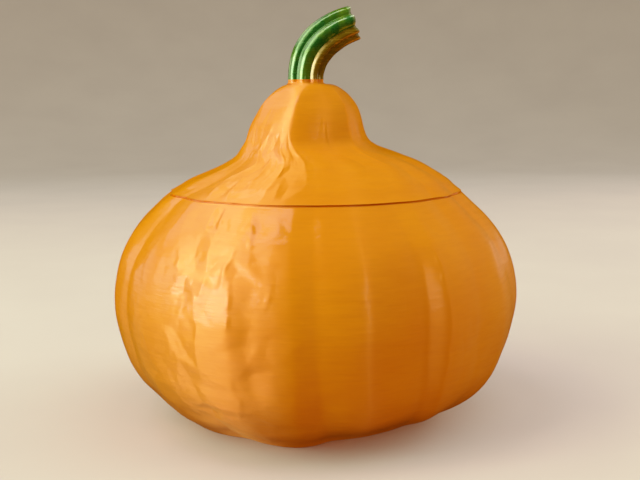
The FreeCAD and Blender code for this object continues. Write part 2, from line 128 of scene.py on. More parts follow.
LID_LOBES = [
    (1.00, (-58.5, -58.0, -57.0, -55.0), (1.15, 0.95, 0.60, 0.15)),
    (0.20, (-46.0, -46.0, -46.0, -46.0), (0.10, 0.05, 0.00, 0.00)),
    (0.60, (-31.0, -31.0, -32.0, -33.0), (0.90, 0.65, 0.40, 0.10)),
    (0.55, (-22.5, -22.5, -23.0, -24.0), (0.15, 0.10, 0.05, 0.00)),
    (0.30, (-16.0, -17.0, -18.0, -19.0), (0.22, 0.20, 0.12, 0.00)),
    (0.70, (-10.5, -12.0, -13.0, -14.0), (0.00, 0.00, 0.00, 0.00)),
    (0.30, (-4.0, -5.0, -5.5, -6.0), (0.42, 0.36, 0.22, 0.05)),
    (0.35, (1.0, 1.0, 1.0, 1.0), (0.15, 0.10, 0.05, 0.00)),
    (0.20, (6.0, 6.0, 6.0, 6.0), (0.32, 0.26, 0.15, 0.00)),
    (0.10, (16.0, 16.0, 16.0, 16.0), (0.00, 0.00, 0.00, 0.00)),
    (0.30, (29.0, 29.0, 29.0, 29.0), (0.50, 0.36, 0.20, 0.00)),
    (0.50, (35.0, 35.0, 35.5, 36.0), (0.05, 0.05, 0.00, 0.00)),
    (0.50, (49.0, 49.0, 49.0, 48.0), (0.75, 0.55, 0.28, 0.00)),
    (0.20, (58.0, 58.0, 58.0, 58.0), (0.05, 0.00, 0.00, 0.00)),
    (0.80, (66.0, 66.0, 66.0, 66.0), (0.80, 0.60, 0.35, 0.05)),
    (0.30, (77.0, 77.0, 77.0, 77.0), (0.00, 0.00, 0.00, 0.00)),
    (0.60, (92.0, 92.0, 92.0, 92.0), (0.75, 0.55, 0.30, 0.05)),
    (0.30, (103.0, 103.0, 103.0, 103.0), (0.00, 0.00, 0.00, 0.00)),
    (0.50, (116.0, 116.0, 117.0, 118.0), (0.75, 0.55, 0.30, 0.05)),
    (0.50, (130.0, 130.0, 130.0, 130.0), (0.05, 0.00, 0.00, 0.00)),
    (0.60, (142.0, 142.0, 143.0, 144.0), (0.70, 0.50, 0.25, 0.05)),
    (0.30, (153.0, 153.0, 153.0, 153.0), (0.00, 0.00, 0.00, 0.00)),
    (0.45, (166.0, 166.0, 167.0, 168.0), (0.80, 0.60, 0.30, 0.05)),
    (0.60, (179.0, 179.0, 179.0, 179.0), (0.05, 0.00, 0.00, 0.00)),
    (0.50, (191.0, 191.0, 191.0, 191.0), (0.65, 0.50, 0.25, 0.05)),
    (0.25, (202.0, 202.0, 202.0, 202.0), (0.00, 0.00, 0.00, 0.00)),
    (0.60, (216.0, 216.0, 216.0, 216.0), (0.75, 0.55, 0.30, 0.05)),
    (0.50, (228.0, 228.0, 228.0, 228.0), (0.00, 0.00, 0.00, 0.00)),
    (0.45, (238.0, 238.0, 238.0, 238.0), (0.70, 0.50, 0.25, 0.05)),
    (0.30, (249.0, 249.0, 249.0, 249.0), (0.05, 0.00, 0.00, 0.00)),
    (0.60, (260.0, 260.0, 260.0, 260.0), (0.80, 0.60, 0.30, 0.05)),
    (0.35, (270.0, 270.0, 270.0, 270.0), (0.00, 0.00, 0.00, 0.00)),
    (0.60, (279.0, 279.0, 279.0, 279.0), (0.75, 0.55, 0.25, 0.05)),
    (0.25, (290.0, 290.0, 291.0, 291.0), (0.00, 0.00, 0.00, 0.00)),
]
KNOB_RIDGES = (-76.0, -16.0, 44.0, 101.0, 163.0, 222.0)
KNOB_FACET = 1.15
STEM_FURROWS = (-122.0, -80.0, -36.0, 17.0, 52.0, 90.0, 128.0, 166.0, 203.0)
STEM_LINE = [
    (-2.38, 0.00, 98.0, 5.40), (-2.30, -0.02, 99.6, 5.42), (-2.05, -0.05, 101.2, 5.48),
    (-1.60, -0.08, 103.0, 5.58), (-0.85, -0.10, 104.9, 5.70), (0.25, -0.12, 106.7, 5.78),
    (1.70, -0.12, 108.4, 5.80), (3.50, -0.10, 110.0, 5.74), (5.50, -0.06, 111.35, 5.64),
    (7.50, -0.02, 112.50, 5.52), (9.60, 0.03, 113.35, 5.40), (11.74, 0.08, 114.10, 5.25),
]
STEM_END_RISE = 20.0

N_BODY = 448
N_STEM = 288


# ---------------------------------------------------------------- small mathematics
def hermite(rows):
    """Smooth function through (x, value) rows, constant outside them."""
    x = np.array([r[0] for r in rows], float)
    v = np.array([r[1] for r in rows], float)
    m = np.empty_like(v)
    m[1:-1] = (v[2:] - v[:-2]) / (x[2:] - x[:-2])
    m[0] = (v[1] - v[0]) / (x[1] - x[0])
    m[-1] = (v[-1] - v[-2]) / (x[-1] - x[-2])

    def f(q):
        q = np.clip(np.asarray(q, float), x[0], x[-1])
        k = np.clip(np.searchsorted(x, q, side="left") - 1, 0, len(x) - 2)
        h = x[k + 1] - x[k]
        t = (q - x[k]) / h
        return ((2 * t ** 3 - 3 * t ** 2 + 1) * v[k] + (t ** 3 - 2 * t ** 2 + t) * h * m[k]
                + (-2 * t ** 3 + 3 * t ** 2) * v[k + 1] + (t ** 3 - t ** 2) * h * m[k + 1])
    return f


def spline(x, y):
    """Natural cubic spline through y (any trailing shape) at x."""
    x = np.asarray(x, float)
    y = np.asarray(y, float)
    shape = y.shape[1:]
    y = y.reshape(len(x), -1)
    n = len(x)
    h = np.diff(x)
    a = np.zeros((n, n))
    b = np.zeros_like(y)
    a[0, 0] = a[-1, -1] = 1.0
    for i in range(1, n - 1):
        a[i, i - 1], a[i, i], a[i, i + 1] = h[i - 1], 2 * (h[i - 1] + h[i]), h[i]
        b[i] = 6 * ((y[i + 1] - y[i]) / h[i] - (y[i] - y[i - 1]) / h[i - 1])
    m = np.linalg.solve(a, b)

    def f(q):
        q = np.asarray(q, float)
        k = np.clip(np.searchsorted(x, q, side="left") - 1, 0, n - 2)
        hk = h[k][:, None]
        l = (x[k + 1] - q)[:, None]
        r = (q - x[k])[:, None]
        out = (m[k] * l ** 3 + m[k + 1] * r ** 3) / (6 * hk) \
            + (y[k] / hk - m[k] * hk / 6) * l + (y[k + 1] / hk - m[k + 1] * hk / 6) * r
        return out.reshape((len(q),) + shape)
    return f


def smooth(a, b, x):
    t = np.clip((np.asarray(x, float) - a) / (b - a), 0.0, 1.0)
    return t * t * (3 - 2 * t)


def _hash(ix, iy, iz, seed):
    h = (ix * 374761393 + iy * 668265263 + iz * 2147483647 + seed * 974711) & 0xFFFFFFFF
    h = ((h ^ (h >> 13)) * 1274126177) & 0xFFFFFFFF
    h = ((h ^ (h >> 16)) * 2246822519) & 0xFFFFFFFF
    return h ^ (h >> 15)


def noise(p, size, seed=0):
    """Gradient noise in about -1..1 at the points p (n, 3), with features of the given size (one or three numbers)."""
    q = np.asarray(p, float) / np.asarray(size, float)
    i = np.floor(q).astype(np.int64)
    f = q - i
    w = f * f * f * (f * (f * 6 - 15) + 10)
    total = np.zeros(len(q))
    for dx in (0, 1):
        for dy in (0, 1):
            for dz in (0, 1):
                h = _hash(i[:, 0] + dx, i[:, 1] + dy, i[:, 2] + dz, seed)
                g = np.stack([(h & 1023) / 511.5 - 1, ((h >> 10) & 1023) / 511.5 - 1,
                              ((h >> 20) & 1023) / 511.5 - 1], 1)
                dot = (g * (f - np.array([dx, dy, dz]))).sum(1)
                k = (w[:, 0] if dx else 1 - w[:, 0]) * (w[:, 1] if dy else 1 - w[:, 1]) \
                    * (w[:, 2] if dz else 1 - w[:, 2])
                total += k * dot
    return total * 1.5


shift_at = hermite(SHIFT)
base_edge = hermite([(p[0] - 360.0, p[1]) for p in BASE_EDGE[-2:]] + BASE_EDGE
                    + [(p[0] + 360.0, p[1]) for p in BASE_EDGE[:3]])


SAMPLES = 1440
_cell = 360.0 / SAMPLES
_freq = np.fft.rfftfreq(SAMPLES, _cell)
_kernel = [np.exp(-2 * (np.pi * _freq * s) ** 2) for s in (0.75, 3.2)]


def lobes_of(heights, rows):
    """Function giving the depth of the lobed section over (azimuths, height)."""
    az = [hermite(list(zip(heights, r[1]))) for r in rows]
    dp = [hermite(list(zip(heights, r[2]))) for r in rows]
    crisp = np.array([r[0] for r in rows])

    def f(q, z):
        x = np.array([float(g(z)) for g in az])
        d = np.array([float(g(z)) for g in dp])
        x3 = np.concatenate([x - 360, x, x + 360])
        grid = x[0] + np.arange(SAMPLES) * _cell
        line = np.interp(grid, x3, np.tile(d, 3))
        c = np.interp(grid, x3, np.tile(crisp, 3))
        hard, soft = (np.fft.irfft(np.fft.rfft(line) * k, SAMPLES) for k in _kernel)
        out = hard * c + soft * (1 - c)
        return np.interp((np.asarray(q) - x[0]) % 360.0, np.arange(SAMPLES + 1) * _cell,
                         np.append(out, out[0]))
    return f


bowl_lobes = lobes_of(BOWL_Z, BOWL_LOBES)
lid_lobes = lobes_of(LID_Z, LID_LOBES)


def between(az, marks):
    """Share of the way from one mark to the next at the azimuths az, and the mark's number."""
    m = np.append(np.array(marks, float), marks[0] + 360.0)
    a = (az - m[0]) % 360.0 + m[0]
    k = np.clip(np.searchsorted(m, a, side="right") - 1, 0, len(marks) - 1)
    return (a - m[k]) / (m[k + 1] - m[k]), k


RIDGE_ROUND = (0.10, 0.15, 0.03, 0.06, 0.10, 0.08)   # how soft each ridge of the knob is


def facet(az):
    t, k = between(az, KNOB_RIDGES)
    soft = np.array(RIDGE_ROUND + (RIDGE_ROUND[0],))
    e = soft[k] * (1 - t) + soft[k + 1] * t
    s = np.sin(np.pi * t)
    return KNOB_FACET * (np.sqrt(s * s + e * e) - e * 0.35)


def flute(az, depth):
    t, _ = between(az, STEM_FURROWS)
    return depth * (1 - np.sin(np.pi * t) ** 1.15)


def normals(profile):
    out = []
    for i in range(len(profile)):
        a = profile[max(0, i - 1)]
        b = profile[min(len(profile) - 1, i + 1)]
        dz, dr = b[0] - a[0], b[1] - a[1]
        n = math.hypot(dz, dr)
        out.append((dz / n, -dr / n))
    return out


BASE_NR = max(0.45, normals(BOWL_PROFILE)[0][0])


def spread_azimuths(count):
    """Azimuths round the body, about twice as close together at the crumpled front left as at the back."""
    a = np.arange(0.0, 360.0, 0.05)
    signed = (a + 180.0) % 360.0 - 180.0
    dense = 1.0 / 1.25 + (1.0 / 0.55 - 1.0 / 1.25) * smooth(-88.0, -74.0, signed) * (1 - smooth(52.0, 66.0, signed))
    total = np.concatenate([[0.0], np.cumsum(dense)])
    return np.interp(np.arange(count) * total[-1] / count, total, np.append(a, 360.0))


AZ = spread_azimuths(N_BODY)
RAD = np.radians(AZ)


def ring(r, z, nr, nz, level, lobes, extra):
    """One ring of the lobed outside, as the construction has it."""
    k = float(smooth(74.0, 82.0, z))
    top = 1.0 - float(smooth(92.0, 96.4, z))
    d = lobes(AZ, z) * (1 - k) + facet(AZ) * k * top
    dr = d * (nr * level + (1 - level) / max(nr, 0.45))
    rr = r - dr
    low = 1.0 - float(smooth(0.0, 10.0, z))
    if low > 0:
        rr = rr + low * (base_edge((AZ + 90.0) % 360.0 - 90.0)
                         - (BOWL_PROFILE[0][1] - lobes(AZ, 0.0) / BASE_NR))
    cx = float(shift_at(z)) + extra
    return np.stack([cx + rr * np.sin(RAD), -rr * np.cos(RAD), z - d * nz * level], 1)


def refine(rows, count, power=1.0):
    """More rows along the surface through the given rows."""
    rows = np.array(rows)
    s = np.concatenate([[0], np.cumsum(np.linalg.norm(np.diff(rows, axis=0), axis=2).mean(1))])
    return spline(s, rows)(np.linspace(0, s[-1], count))


def grid_normals(g):
    """Outward normals of a grid of rows (bottom to top, anticlockwise seen from above)."""
    du = np.roll(g, -1, axis=1) - np.roll(g, 1, axis=1)
    dv = np.gradient(g, axis=0)
    n = np.cross(du, dv)
    return n / np.maximum(np.linalg.norm(n, axis=2, keepdims=True), 1e-9)


def turned(rows, cx=0.0, sin=None, cos=None):
    """Rings of revolution from (radius, height) pairs."""
    s = np.sin(RAD) if sin is None else sin
    c = np.cos(RAD) if cos is None else cos
    return [np.stack([cx + r * s, -r * c, np.full(len(s), float(z))], 1) for r, z in rows]


def make_mesh(name, rows, start, end, sharp=38.0):
    """A closed mesh from rings of points, with a point at each end."""
    n = len(rows[0])
    co = np.vstack([np.array([start], float)] + [np.asarray(r) for r in rows] + [np.array([end], float)]) * MM
    m = len(rows)
    i = np.arange(n)
    j = (i + 1) % n
    quads = []
    for k in range(m - 1):
        a, b = 1 + k * n, 1 + (k + 1) * n
        quads.append(np.stack([a + i, a + j, b + j, b + i], 1))
    quads = np.vstack(quads)
    first = np.stack([np.zeros(n, int), 1 + j, 1 + i], 1)
    a = 1 + (m - 1) * n
    last = np.stack([a + i, a + j, np.full(n, len(co) - 1)], 1)
    loops = np.concatenate([first.ravel(), quads.ravel(), last.ravel()])
    sizes = np.concatenate([np.full(n, 3), np.full(len(quads), 4), np.full(n, 3)])
    starts = np.concatenate([[0], np.cumsum(sizes)[:-1]])
    me = bpy.data.meshes.new(name)
    me.vertices.add(len(co))
    me.vertices.foreach_set("co", co.astype(np.float32).ravel())
    me.loops.add(len(loops))
    me.loops.foreach_set("vertex_index", loops.astype(np.int32))
    me.polygons.add(len(sizes))
    me.polygons.foreach_set("loop_start", starts.astype(np.int32))
    me.update(calc_edges=True)
    me.validate()
    me.polygons.foreach_set("use_smooth", np.ones(len(me.polygons), bool))
    me.set_sharp_from_angle(angle=math.radians(sharp))
    me.update()
    obj = bpy.data.objects.new(name, me)
    bpy.context.scene.collection.objects.link(obj)
    return obj


# ---------------------------------------------------------------- surface relief
# Creases that stand up from the crumpled front left: runs of (azimuth, height) points, and the dents beside them
# as (azimuth, height, depth in mm).
CREASES = {
    "bowl": [
        [(-35.8, 65.0), (-35.6, 62.7), (-34.7, 60.4), (-29.4, 57.1), (-29.8, 59.6), (-31.1, 62.4), (-32.1, 65.0)],
        [(-21.7, 56.1), (-21.8, 53.9), (-23.3, 51.9), (-23.0, 48.1)],
        [(-19.3, 61.2), (-17.4, 56.9)],
        [(-40.3, 54.7), (-38.5, 52.5), (-39.1, 51.7), (-37.3, 48.6)],
        [(-37.3, 48.6), (-35.0, 49.7)],
        [(-30.1, 55.5), (-29.0, 53.6)],
        [(-28.7, 48.0), (-29.1, 45.4)],
        [(-31.1, 44.4), (-30.5, 42.6), (-32.9, 41.8), (-33.7, 40.0), (-35.6, 38.7)],
        [(-29.5, 38.8), (-30.0, 32.4), (-30.0, 26.2)],
        [(-21.3, 48.0), (-20.9, 43.4), (-20.9, 37.9)],
        [(33.0, 56.4), (34.4, 51.0), (34.0, 46.0), (34.8, 40.0), (34.2, 33.0), (34.8, 27.0), (34.0, 21.0)],
    ],
    "lid": [
        [(-38.9, 83.7), (-42.7, 81.5), (-44.7, 79.3), (-42.3, 75.2), (-45.8, 73.1), (-48.8, 71.1)],
        [(-23.0, 79.5), (-23.0, 78.5), (-21.8, 74.7), (-21.1, 71.7), (-20.2, 68.7), (-19.5, 66.3)],
        [(-39.6, 71.8), (-36.9, 69.6), (-35.3, 67.3), (-33.5, 65.9)],
        [(-34.2, 74.8), (-32.6, 71.5), (-30.2, 69.7)],
        [(-10.8, 78.5), (-9.5, 74.6), (-5.9, 71.0)],
        [(41.7, 78.9), (37.0, 76.6), (39.1, 74.9)],
        [(-17.1, 70.5), (-15.4, 67.9)],
        [(-46.3, 69.3), (-43.6, 67.0)],
    ],
}
DENTS = {
    "bowl": [(-32.6, 61.0, 0.75), (-32.4, 63.5, 0.60), (-25.6, 60.5, 0.45), (-25.5, 54.0, 0.50), (-19.5, 51.5, 0.55),
             (-34.8, 55.5, 0.50), (-32.6, 51.0, 0.60), (-25.6, 47.0, 0.45), (-34.8, 45.2, 0.65), (-28.0, 41.0, 0.55),
             (-36.5, 35.0, 0.60), (-33.6, 29.5, 0.70), (-25.5, 34.0, 0.35), (-25.8, 28.0, 0.45), (-17.6, 42.0, 0.30),
             (-40.6, 44.0, 0.45), (-43.5, 50.5, 0.35), (-34.5, 22.0, 0.85), (-27.0, 20.5, 0.50), (-20.0, 24.0, 0.45),
             (-17.6, 33.0, 0.50), (-18.5, 64.0, 0.30), (-40.0, 60.0, 0.40), (-43.0, 27.0, 0.50), (-15.5, 26.0, 0.40), (-31.5, 12.5, 1.30)],
    "lid": [(-41.5, 78.0, 0.55), (-37.0, 77.5, 0.60), (-39.0, 73.5, 0.55), (-42.5, 70.0, 0.60), (-36.2, 74.0, 0.45),
            (-32.0, 77.5, 0.55), (-27.5, 77.0, 0.50), (-27.0, 73.0, 0.55), (-33.6, 70.0, 0.45), (-28.5, 67.5, 0.50),
            (-24.5, 69.5, 0.45), (-38.5, 67.0, 0.50), (-16.5, 75.0, 0.45), (-18.2, 72.5, 0.40), (-13.0, 70.5, 0.45),
            (-48.0, 68.0, 0.45), (-12.5, 67.0, 0.35), (-30.5, 73.2, 0.55), (-49.0, 75.0, 0.30), (-22.5, 81.5, 0.20)],
}


def crumple(v, zs, seed, sites, creases, dents):
    """Depth in mm of flat-sided crumpling over the grid with row distances v, row heights zs and azimuths AZ."""
    rng = np.random.default_rng(seed)
    pts, dep = [], []
    for line in creases:
        for a, z in line:
            pts.append((a, float(np.interp(z, zs, v))))
            dep.append(0.0)
    edges = []
    n = 0
    for line in creases:
        edges += [(n + i, n + i + 1) for i in range(len(line) - 1)]
        n += len(line)
    for a, z, d in dents:
        pts.append((a, float(np.interp(z, zs, v))))
        dep.append(0.72 * d)
    for a, w, d in sites(rng, v[-1]):
        if all((a - q[0]) ** 2 + (w - q[1]) ** 2 > 2.6 ** 2 for q in pts):
            pts.append((a, w))
            dep.append(d)
    inner = len(pts)
    for i in range(inner):
        for turn in (-360.0, 360.0):
            if abs(pts[i][0] + turn) < 200.0:
                pts.append((pts[i][0] + turn, pts[i][1]))
                dep.append(dep[i])
    co, _, faces, origin, _, _ = delaunay_2d_cdt([Vector(q) for q in pts], edges, [], 0, 1e-4)
    dep2 = np.array([np.mean([dep[k] for k in o]) if o else 0.2 for o in origin])
    co = np.array([tuple(c) for c in co])
    signed = (AZ + 180.0) % 360.0 - 180.0
    order = np.argsort(signed)
    sx = signed[order]
    out = np.zeros((len(v), len(sx)))
    for f in faces:
        (x0, y0), (x1, y1), (x2, y2) = co[list(f)]
        den = (y1 - y2) * (x0 - x2) + (x2 - x1) * (y0 - y2)
        if abs(den) < 1e-9:
            continue
        i0, i1 = np.searchsorted(v, (min(y0, y1, y2), max(y0, y1, y2) + 1e-9))
        j0, j1 = np.searchsorted(sx, (min(x0, x1, x2), max(x0, x1, x2) + 1e-9))
        if i0 >= i1 or j0 >= j1:
            continue
        yy, xx = np.meshgrid(v[i0:i1], sx[j0:j1], indexing="ij")
        l0 = ((y1 - y2) * (xx - x2) + (x2 - x1) * (yy - y2)) / den
        l1 = ((y2 - y0) * (xx - x2) + (x0 - x2) * (yy - y2)) / den
        l2 = 1 - l0 - l1
        val = l0 * dep2[f[0]] + l1 * dep2[f[1]] + l2 * dep2[f[2]]
        inside = (l0 >= -1e-6) & (l1 >= -1e-6) & (l2 >= -1e-6)
        part = out[i0:i1, j0:j1]
        part[inside] = val[inside]
    res = np.empty_like(out)
    res[:, order] = out
    return res


def left_front(a):
    """How much of the crumpling an azimuth takes: most at the front left."""
    front = math.exp(-((((a + 180.0) % 360.0) - 180.0 + 34.0) / 24.0) ** 2)
    return front + 0.5 * math.exp(-((a % 360.0 - 165.0) / 45.0) ** 2)


def bowl_sites(rng, length):
    out = []
    w = 1.0
    while w < length:
        a = -180.0
        while a < 180.0:
            k = left_front(a)
            step = 8.0 - 3.9 * k
            out.append((a + rng.uniform(-0.4, 0.4) * step, w + rng.uniform(-0.45, 0.45) * step,
                        rng.uniform(0.0, 0.16 + 0.30 * k)))
            a += step
        w += 5.0
    return out


def lid_sites(rng, length):
    out = []
    w = 0.5
    while w < length:
        skirt = 1.0 - float(smooth(26.0, 36.0, w))
        a = -180.0
        while a < 180.0:
            k = left_front(a + 6.0) * (0.15 + 0.85 * skirt)
            step = (8.5 - 3.5 * k) * (1.0 + 0.6 * w / 30.0)
            out.append((a + rng.uniform(-0.4, 0.4) * step, w + rng.uniform(-0.4, 0.4) * 4.0,
                        rng.uniform(0.0, (0.08 + 0.16 * skirt) + 0.55 * k * skirt)))
            a += step
        w += 4.4
    return out


def relief(p, az, z):
    """Depth in mm that the soft unevenness takes off the outside at points p (n, 3)."""
    left = np.exp(-(((az + 180) % 360 - 180 + 38) / 34.0) ** 2)      # the front left is the most uneven
    skirt = smooth(62.0, 68.0, z) * (1 - smooth(80.0, 86.0, z))
    knob = smooth(80.0, 86.0, z)
    big = noise(p, (15.0, 15.0, 19.0), 3)
    mid = noise(p, (6.2, 6.2, 7.5), 11)
    small = noise(p, (3.1, 3.1, 3.4), 23)
    amp_big = 0.18 * (1 - 0.7 * knob)
    amp_mid = (0.045 + 0.03 * left + 0.04 * skirt) * (1 - 0.8 * knob)
    amp_small = (0.006 + 0.030 * left + 0.03 * skirt * left) * (1 - 0.8 * knob)
    d = amp_big * (big + 0.8) + amp_mid * (mid + 0.8) + amp_small * (small + 0.8)
    return np.clip(d, 0.0, None)


def squiggles(seed, count, az, z):
    """Short wandering lines (az, z) at the front left, between the heights z."""
    rng = np.random.default_rng(seed)
    out = []
    for _ in range(count):
        a, h = rng.normal(az, 9.0), rng.uniform(*z)
        lean = rng.uniform(-0.5, 0.9)
        line = [(a, h)]
        for _ in range(rng.integers(2, 5)):
            a += lean + rng.uniform(-1.5, 1.5)
            h -= rng.uniform(0.9, 2.2)
            if h < z[0] - 4.0:
                break
            line.append((a, h))
        if len(line) > 1:
            out.append(line)
    return out


def raised(g, v, seed, lines, height, width=0.62):
    """Height in mm of thin raised lines (az, z) over the grid, uneven along their length."""
    zs = g[:, :, 2].mean(1)
    per_degree = np.radians(np.hypot(g[:, :, 0], g[:, :, 1]).mean(1))[:, None]
    p = g.reshape(-1, 3)
    wander = 0.5 * noise(p, (2.3, 2.3, 1.7), seed + 1).reshape(g.shape[:2])
    power = np.clip(0.55 + 0.9 * noise(p, (2.6, 2.6, 2.0), seed + 2).reshape(g.shape[:2]), 0.12, 1.1)
    signed = ((AZ + 180.0) % 360.0 - 180.0)[None, :]
    across = v[:, None] + 0.6 * wander
    out = np.zeros(g.shape[:2])
    for line in lines:
        for (a0, z0), (a1, z1) in zip(line, line[1:]):
            v0, v1 = np.interp((z0, z1), zs, v)
            dx, dy = (signed - a0) * per_degree + wander, across - v0
            ex, ey = (a1 - a0) * per_degree, v1 - v0
            t = np.clip((dx * ex + dy * ey) / (ex * ex + ey * ey + 1e-9), 0.0, 1.0)
            d2 = (dx - t * ex) ** 2 + (dy - t * ey) ** 2
            out = np.maximum(out, np.exp(-d2 / width ** 2))
    return out * power * height


def carve(g, fade, seed, sites, creases, dents):
    """The grid with the relief taken off along its normals; fade (rows) says how much of it each row takes."""
    n = grid_normals(g)
    p = g.reshape(-1, 3)
    az = np.degrees(np.arctan2(p[:, 0], -p[:, 1]))
    d = relief(p, az, p[:, 2]).reshape(g.shape[:2])
    v = np.concatenate([[0.0], np.cumsum(np.linalg.norm(np.diff(g, axis=0), axis=2).mean(1))])
    d = d + crumple(v, g[:, :, 2].mean(1), seed, sites, creases, dents)
    low, high = g[:, :, 2].min() + 12.0, g[:, :, 2].max()
    d = d - raised(g, v, seed, creases, 0.17)
    d = d - raised(g, v, seed + 40, squiggles(seed + 3, 46, -33.0, (low - 6.0, min(high, 82.0))), 0.10)
    return g - n * (d * fade[:, None])[:, :, None]


# ---------------------------------------------------------------- bowl
def make_bowl():
    nrm = normals(BOWL_PROFILE + [(SEAM_Z, 43.42)])
    rows = []
    for (z, r), (nr, nz) in zip(BOWL_PROFILE, nrm):
        level = float(smooth(0.0, 7.0, z) * (1 - smooth(56.0, SEAM_Z, z)))
        rows.append(ring(r, z, nr, nz, level, bowl_lobes, 0.0))
    top = ring(43.60, SEAM_Z - 0.28, 0.66, 0.75, 0.0, bowl_lobes, 0.0)
    top[:, 2] = SEAM_Z - 0.28
    rows.append(top)
    g = refine(rows, 160)
    fade = smooth(0.0, 4.0, g[:, 0, 2]) * (1 - 0.65 * smooth(60.0, SEAM_Z, g[:, 0, 2]))
    g = carve(g, fade, 7, bowl_sites, CREASES["bowl"], DENTS["bowl"])
    g[:, :, 2] = np.maximum(g[:, :, 2], 0.0)
    outer = list(g)
    # base: flat, with its edge broken by 0.35 mm
    base = []
    first = outer[0].copy()
    r0 = np.hypot(first[:, 0], first[:, 1])
    for share in (0.10, 0.3, 0.5, 0.7, 0.85, 0.94):
        ringp = first.copy()
        ringp[:, :2] *= share
        ringp[:, 2] = 0.0
        base.append(ringp)
    for back in (0.55, 0.30):
        ringp = first.copy()
        ringp[:, :2] *= ((r0 - back) / r0)[:, None]
        ringp[:, 2] = 0.0
        base.append(ringp)
    outer[0][:, 2] = 0.0
    outer[0][:, :2] *= ((r0 - 0.10) / r0)[:, None]
    outer[0][:, 2] = 0.12
    # parting edge: a shallow rebate, then the land that the lid rests on
    last = outer[-1]
    rim = []
    rl = np.hypot(last[:, 0], last[:, 1])
    for back, z in ((0.07, SEAM_Z - 0.25), (1.0, SEAM_Z - 0.24), (1.08, SEAM_Z)):
        ringp = last.copy()
        ringp[:, :2] *= ((rl - back) / rl)[:, None]
        ringp[:, 2] = z
        rim.append(ringp)
    inner = [(MOUTH_R + 0.25, SEAM_Z), (MOUTH_R, SEAM_Z - 0.25), (MOUTH_R, SEAM_Z - 1.3),
             (MOUTH_R, SEAM_Z - MOUTH_LAND), (41.4, 61.9), (44.6, 59.0), (47.4, 56.4), (50.2, 54.0),
             (51.7, 52.0), (53.1, 50.0), (54.2, 48.0), (54.8, 46.0), (55.4, 43.5), (55.9, 41.0),
             (56.2, 38.0), (56.3, 35.0), (56.1, 32.5), (55.7, 30.0), (55.1, 27.5), (54.4, 25.0),
             (53.6, 22.0), (52.4, 18.0), (51.5, 16.0), (50.1, 14.0), (48.1, 12.0), (45.8, 10.0),
             (42.6, 8.0), (38.7, 6.0), (36.6, 4.3), (33.6, 3.05), (29.6, FLOOR), (29.0, FLOOR),
             (24.0, FLOOR), (18.0, FLOOR), (12.0, FLOOR), (6.0, FLOOR), (2.0, FLOOR)]
    rows = base + outer + rim + turned(inner)
    return make_mesh("bowl_shell", rows, (0, 0, 0), (0, 0, FLOOR))


# ---------------------------------------------------------------- lid
def make_lid():
    nrm = normals([BOWL_PROFILE[-1]] + LID_PROFILE)[1:]
    rows = []
    first = ring(43.27, SEAM_Z + 0.28, 0.66, 0.75, 0.0, lid_lobes, LID_SHIFT)
    first[:, 2] = SEAM_Z + 0.28
    rows.append(first)
    for (z, r), (nr, nz) in list(zip(LID_PROFILE, nrm))[1:]:
        level = float(smooth(SEAM_Z, 71.0, z) * (1 - smooth(90.0, 96.0, z)))
        extra = LID_SHIFT * (1 - float(smooth(SEAM_Z, 74.0, z)))
        rows.append(ring(r, z, nr, nz, level, lid_lobes, extra))
    g = refine(rows, 120)
    fade = (0.35 + 0.65 * smooth(SEAM_Z, 68.5, g[:, 0, 2])) * (1 - smooth(95.0, 96.5, g[:, 0, 2]))
    g = carve(g, fade, 19, lid_sites, CREASES["lid"], DENTS["lid"])
    g[0, :, 2] = SEAM_Z + 0.28
    outer = list(g)
    # raised foot for the stem, which takes on its fluted outline
    cx = STEM_LINE[0][0]
    foot = []
    for z, r, share in ((96.72, 5.98, 0.45), (96.85, 5.70, 0.75), (97.0, 5.50, 0.9), (97.2, 5.40, 1.0),
                        (97.4, 5.38, 1.0), (97.6, 5.38, 1.0), (97.8, 5.38, 1.0), (97.97, 5.36, 1.0)):
        rr = r - flute(AZ, STEM_FLUTE * share)
        wave = 0.05 * noise(np.stack([np.sin(RAD) * 3, np.cos(RAD) * 3, np.full(N_BODY, z)], 1), 1.0, 5)
        foot.append(np.stack([cx + (rr + wave * 0.5 - 0.03) * np.sin(RAD),
                              -(rr + wave * 0.5 - 0.03) * np.cos(RAD), np.full(N_BODY, z)], 1))
    socket = turned([(3.6, 97.97), (TENON_R + 0.1, 97.97), (TENON_R + 0.1, 95.0), (TENON_R + 0.1, 92.6),
                     (1.2, 92.6)], cx)
    # from the hollow's top down the inside, round the lip and out to the parting edge
    inner = [(1.8, 90.2), (3.7, 90.2), (7.4, 89.75), (9.6, 88.9), (10.35, 88.0), (10.9, 86.0), (11.5, 84.0),
             (12.0, 82.0), (12.6, 80.0), (13.2, 79.0), (14.1, 78.0), (15.3, 77.0), (16.7, 76.0),
             (18.1, 75.0), (20.2, 74.0), (22.7, 73.0), (24.6, 72.0), (26.2, 71.0), (27.6, 70.0),
             (29.3, 69.0), (31.3, 68.1), (33.4, 67.2), (35.2, 66.3), (36.1, 65.85), (LIP_IN, 65.8),
             (LIP_IN, 64.4), (LIP_IN, 62.6), (LIP_IN, 61.05), (LIP_IN + 0.25, 60.8),
             (LIP_OUT - 0.6, 60.8), (LIP_OUT, 61.4), (LIP_OUT, 63.5), (LIP_OUT, SEAM_Z)]
    rim = []
    start = outer[0]
    rl = np.hypot(start[:, 0], start[:, 1])
    for back, z in ((1.08, SEAM_Z), (1.0, SEAM_Z + 0.24), (0.07, SEAM_Z + 0.25)):
        ringp = start.copy()
        ringp[:, :2] *= ((rl - back) / rl)[:, None]
        ringp[:, 2] = z
        rim.append(ringp)
    rows = turned(inner) + rim + outer + foot + socket
    return make_mesh("lid_shell", rows, (0, 0, 90.2), (cx, 0, 92.6))


